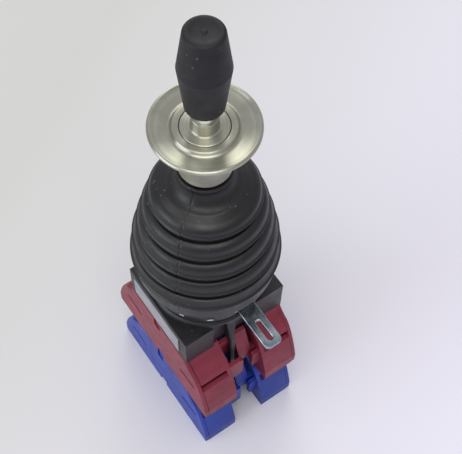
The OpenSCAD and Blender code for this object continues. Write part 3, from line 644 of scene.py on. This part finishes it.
class JOYSTICK_OT_operator_unit(bpy.types.Operator):
    """Finishes the parts inside the boot and the guide: housing, gate, gimbal, pushers and springs."""

    bl_idname = "joystick.operator_unit"
    bl_label = "Operator unit"

    def execute(self, context):
        # Die-cast zinc, painted dark grey: a slightly rippled satin skin.
        cast = moulded("painted_zinc_casting", "26272b", "383a3f", 0.45, cloud=9, grain=0.8, depth=0.03, IOR=1.5)
        dress(["operator_housing"], cast, 0.25)
        dress(["gate_plate", "gimbal_ring", "foot_plate", "foot_nut"], plain_steel(), 0.15)
        dress(["gate_screws", "housing_screws", "gimbal_pins", "lever_pin"], plain_steel(), 0.08)
        # Natural acetal: waxy off-white moulding that lets a little light in.
        acetal = moulded(
            "natural_acetal", "d6d3c6", "e9e7de", 0.36, cloud=10, grain=0.6, depth=0.008,
            **{"IOR": 1.48, "Subsurface Weight": 0.15, "Subsurface Scale": 0.8 * MM},
        )
        dress(["pusher_guide", "pusher_left", "pusher_right", "pusher_front", "pusher_back"], acetal, 0.15)
        plungers = [f"{layer}_{side}_plunger" for layer in ("red", "blue") for side in ("left", "right")]
        dress(["link_rod_front", "link_rod_back", *plungers], acetal, 0.15)
        springs = [f"{layer}_{side}_spring" for layer in ("red", "blue") for side in ("left", "right")]
        dress(["centring_spring", *springs], spring_steel(), rounded=1)
        return {"FINISHED"}


class JOYSTICK_OT_panel_mount(bpy.types.Operator):
    """Draws the mounting barrel with its cut thread, and finishes the gasket and the ring nut."""

    bl_idname = "joystick.panel_mount"
    bl_label = "Panel mount"

    def execute(self, context):
        flange = high("mounting_barrel")
        foot = low("mounting_barrel")[2]
        seat, nut = high("panel_gasket")[2], low("ring_nut")[2]
        barrel, neck, well, bore = 11.0, 10.4, 10.3, 9.5
        mouth = -1.5
        pitch, depth = 1.5, 0.55
        guide_foot = low("pusher_guide")[2]
        way = high("pusher_right")[0] + FREE_GAP
        shank = line([barrel, nut], [barrel, seat - 0.02], int((seat - nut) / pitch * 14))
        profile = np.vstack(
            [
                [[way, foot], [neck - 0.3, foot], [neck, foot + 0.3], [neck, nut - 0.02]],
                shank,
                [[barrel, seat]],
                arc([flange[0] - 0.25, seat + 0.25], 0.25, -90, 0, 4),
                arc([flange[0] - 0.25, flange[2] - 0.25], 0.25, 0, 90, 4),
                [[well, flange[2]], [well, mouth], [bore, mouth], [bore, guide_foot], [way, guide_foot]],
            ]
        )
        columns = 144
        grid = turned(profile, columns)
        a = np.linspace(0, 2 * np.pi, columns, endpoint=False)
        z = profile[:, 1:]
        tooth = np.abs(((z - nut) / pitch - a / (2 * np.pi)) % 1.0 * 2 - 1)
        cut = depth * smooth(tooth, 0.1, 0.9) * smooth(z, nut, nut + 0.5) * (1 - smooth(z, seat - 0.8, seat - 0.1))
        on_shank = (np.abs(profile[:, :1] - barrel) < 1e-6) & (z >= nut)
        grid[..., :2] *= (1 - np.where(on_shank, cut, 0) / barrel)[..., None]
        # Painted zinc casting with a cut thread: dark satin grey.
        cast = bpy.data.materials["painted_zinc_casting"]
        piece = skin("threaded_barrel", grid, ring=True, crease=45)
        finish_piece(piece, "root", cast, "grey_metal", "mounting_barrel")
        # Nitrile gasket: flat matte black.
        dress(["panel_gasket"], moulded("nitrile_gasket", "0c0d0e", "151618", 0.7, IOR=1.52), 0.2)
        # Painted steel nut with rubbed edges: dark grey.
        dress(["ring_nut"], moulded("painted_steel_nut", "1c1d20", "2b2c31", 0.4, IOR=1.5), 0.2)
        return {"FINISHED"}


class JOYSTICK_OT_adaptor(bpy.types.Operator):
    """Finishes the adaptor, its tongues, the bare label strip and the locking lever."""

    bl_idname = "joystick.adaptor"
    bl_label = "Adaptor"

    def execute(self, context):
        # Glass-filled nylon: matte charcoal with a fine even grain.
        nylon = moulded(
            "glass_filled_nylon", "0c0d10", "17181c", 0.46, cloud=8, grain=0.45, depth=0.02, dust=0.35, IOR=1.53
        )
        dress(["adaptor", "adaptor_tongues"], nylon, 0.3)
        # Printed-label stock left bare: pale grey foil with a soft silver sheen.
        foil = moulded(
            "bare_label_foil", "8b8c92", "a2a3a9", 0.38, cloud=5, grain=0.3, depth=0.004, IOR=1.45, Metallic=0.35
        )
        dress(["label_plate"], foil, 0.08)
        # Zinc-plated spring sheet, blue passivated: cool grey with faint clouds and rolling marks.
        zinc = metal(
            "blue_zinc_plate", "8fa0ac", "c3ced2", 0.3, cloud=2.2, streak=(0.2, 1.6, 0.2), depth=0.003, spread=0.07
        )
        dress(["locking_lever"], zinc, 0.2, segments=3)
        return {"FINISHED"}


class JOYSTICK_OT_contact_blocks(bpy.types.Operator):
    """Finishes the cases, covers and latches of the four contact blocks."""

    bl_idname = "joystick.contact_blocks"
    bl_label = "Contact blocks"

    def execute(self, context):
        look = context.scene.joystick_blocks
        # Dyed polyamide mouldings: matte and slightly cloudy, with a pale bloom at grazing angles.
        for layer, name, deep, pale in (
            ("red", "crimson_polyamide", look.upper_deep, look.upper_pale),
            ("blue", "royal_blue_polyamide", look.lower_deep, look.lower_pale),
        ):
            material = moulded(name, deep, pale, 0.5, cloud=8, grain=0.5, depth=0.016, IOR=1.53)
            sides = [f"{layer}_{side}_{part}" for side in ("left", "right") for part in ("case", "cover")]
            dress([*sides, f"{layer}_latches"], material, 0.3)
        return {"FINISHED"}


class JOYSTICK_OT_contacts(bpy.types.Operator):
    """Finishes bridges, terminals, clamps and screws."""

    bl_idname = "joystick.contacts"
    bl_label = "Contacts"

    def execute(self, context):
        bridges = [f"{layer}_{side}_bridge" for layer in ("red", "blue") for side in ("left", "right")]
        # Stamped copper alloy: warm yellow with rolling marks.
        alloy = metal("stamped_contact_brass", "a07f3c", "cba65c", 0.3, streak=(0.2, 0.9, 0.2))
        dress([*bridges, "red_terminals", "blue_terminals"], alloy, 0.1)
        # Zinc-plated steel clamps and screws: bright cool grey.
        plated = metal("zinc_plated_screw_steel", "9aa0a6", "c8cdd1", 0.26, streak=(0.3, 0.3, 0.3))
        dress(["terminal_clamps", "terminal_screws"], plated, 0.12)
        return {"FINISHED"}


# ---- Stage ----


def lamp(name, place, target, size, power, colour):
    """Square soft lamp at place, in metres, that faces target."""
    data = bpy.data.lights.new(name, "AREA")
    data.size = size
    data.energy = power
    data.color = linear(colour)[:3]
    held = bpy.data.objects.new(name, data)
    held.location = place
    held.rotation_euler = (Vector(place) - Vector(target)).to_track_quat("Z", "Y").to_euler()
    bpy.context.scene.collection.objects.link(held)


class JOYSTICK_OT_stage(bpy.types.Operator):
    """Makes the camera, the pale floor, the lamps and the world."""

    bl_idname = "joystick.stage"
    bl_label = "Stage"

    def execute(self, context):
        look = context.scene.joystick_stage
        scene = context.scene
        sy, cy = math.sin(look.heading), math.cos(look.heading)
        sp, cp = math.sin(look.tilt), math.cos(look.tilt)
        ahead = Vector((sy * cp, cy * cp, -sp))
        right = Vector((cy, -sy, 0))
        up = right.cross(ahead)
        turn = look.roll
        right, up = (
            right * math.cos(turn) + up * math.sin(turn),
            up * math.cos(turn) - right * math.sin(turn),
        )
        data = bpy.data.cameras.new("view")
        data.lens = look.lens
        data.sensor_width = 36
        data.clip_start = 0.01
        data.clip_end = 20
        view = bpy.data.objects.new("view", data)
        view.matrix_world = Matrix.Translation(look.camera_place) @ Matrix((right, up, -ahead)).transposed().to_4x4()
        scene.collection.objects.link(view)
        scene.camera = view

        half = 1.5
        ground = low("blue_left_case")[2] * MM
        count = 13
        side = np.linspace(-half, half, count)
        grid = np.stack(np.meshgrid(side, side, [ground], indexing="ij"), -1)[:, :, 0]
        index = np.arange(count * count).reshape(count, count)
        faces = np.stack([index[:-1, :-1], index[1:, :-1], index[1:, 1:], index[:-1, 1:]], -1).reshape(-1, 4)
        mesh = bpy.data.meshes.new("floor")
        mesh.from_pydata(grid.reshape(-1, 3).tolist(), [], faces.tolist())
        floor = bpy.data.objects.new("floor", mesh)
        scene.collection.objects.link(floor)
        # Matte coated paper: a pale ground whose colour carries a painted falloff of light, greyer away from the viewer
        # and paler lilac towards the viewer.
        paper, tree, shader, place = start_material("coated_paper_ground", Roughness=0.9)
        shader.inputs["Specular IOR Level"].default_value = 0.2
        slope = add_node(
            tree,
            "ShaderNodeVectorMath",
            {0: place, 1: (0.55, -0.85, 0.0)},
            operation="DOT_PRODUCT",
        )
        share = add_node(
            tree, "ShaderNodeMapRange", {"Value": slope.outputs["Value"], "From Min": -0.09, "From Max": 0.11}
        )
        # Painted light: the floor is tinted from a darker grey to a paler lilac along the view.
        tone = add_node(
            tree,
            "ShaderNodeMix",
            {0: share.outputs["Result"], 6: linear("cbccc8"), 7: linear("ebe8f6")},
            data_type="RGBA",
        )
        tree.links.new(tone.outputs[2], shader.inputs["Base Color"])
        mesh.materials.append(paper)

        aim = (0, 0, 0.01)
        power = look.lamp_power
        lamp("overhead_softbox", (-0.15, -0.2, 0.75), aim, 0.5, 2.6 * power, "fffdf8")
        lamp("left_softbox", (-0.65, 0.1, 0.25), aim, 0.5, 2.2 * power, "f4f7ff")
        lamp("back_softbox", (0.35, 0.6, 0.38), aim, 0.5, 2.2 * power, "fbfaf2")

        world = bpy.data.worlds.new("pale_studio")
        world.use_nodes = True
        tree = world.node_tree
        tree.nodes.clear()
        back = add_node(tree, "ShaderNodeBackground", {"Color": linear("dddde4"), "Strength": 0.7})
        add_node(tree, "ShaderNodeOutputWorld", {"Surface": back.outputs["Background"]})
        scene.world = world
        scene.view_settings.view_transform = "Standard"
        return {"FINISHED"}


STEPS = (
    JOYSTICK_OT_knob,
    JOYSTICK_OT_lock_ring,
    JOYSTICK_OT_boot,
    JOYSTICK_OT_operator_unit,
    JOYSTICK_OT_panel_mount,
    JOYSTICK_OT_adaptor,
    JOYSTICK_OT_contact_blocks,
    JOYSTICK_OT_contacts,
    JOYSTICK_OT_stage,
)
SETTINGS = {
    "joystick_knob": KnobSettings,
    "joystick_boot": BootSettings,
    "joystick_blocks": BlockSettings,
    "joystick_stage": StageSettings,
}


class JOYSTICK_PT_panel(bpy.types.Panel):
    """Lists the operators and their settings."""

    bl_idname = "JOYSTICK_PT_panel"
    bl_label = "Joystick"
    bl_space_type = "VIEW_3D"
    bl_region_type = "UI"
    bl_category = "Joystick"

    def draw(self, context):
        for step in STEPS:
            self.layout.operator(step.bl_idname)
        for name, group in SETTINGS.items():
            box = self.layout.box()
            for prop in group.__annotations__:
                box.prop(getattr(context.scene, name), prop)


def register():
    """Registers the settings, the operators and the panel."""
    for name, group in SETTINGS.items():
        bpy.utils.register_class(group)
        setattr(bpy.types.Scene, name, PointerProperty(type=group))
    for step in (*STEPS, JOYSTICK_PT_panel):
        bpy.utils.register_class(step)


def unregister():
    """Takes everything off again, in the opposite order."""
    for step in reversed((*STEPS, JOYSTICK_PT_panel)):
        bpy.utils.unregister_class(step)
    for name, group in reversed(SETTINGS.items()):
        delattr(bpy.types.Scene, name)
        bpy.utils.unregister_class(group)


def main():
    """Builds the whole scene."""
    register()
    bpy.ops.joystick.knob()
    bpy.ops.joystick.lock_ring()
    bpy.ops.joystick.boot()
    bpy.ops.joystick.operator_unit()
    bpy.ops.joystick.panel_mount()
    bpy.ops.joystick.adaptor()
    bpy.ops.joystick.contact_blocks()
    bpy.ops.joystick.contacts()
    bpy.ops.joystick.stage()
    bpy.context.view_layer.update()


if __name__ == "__main__":
    main()
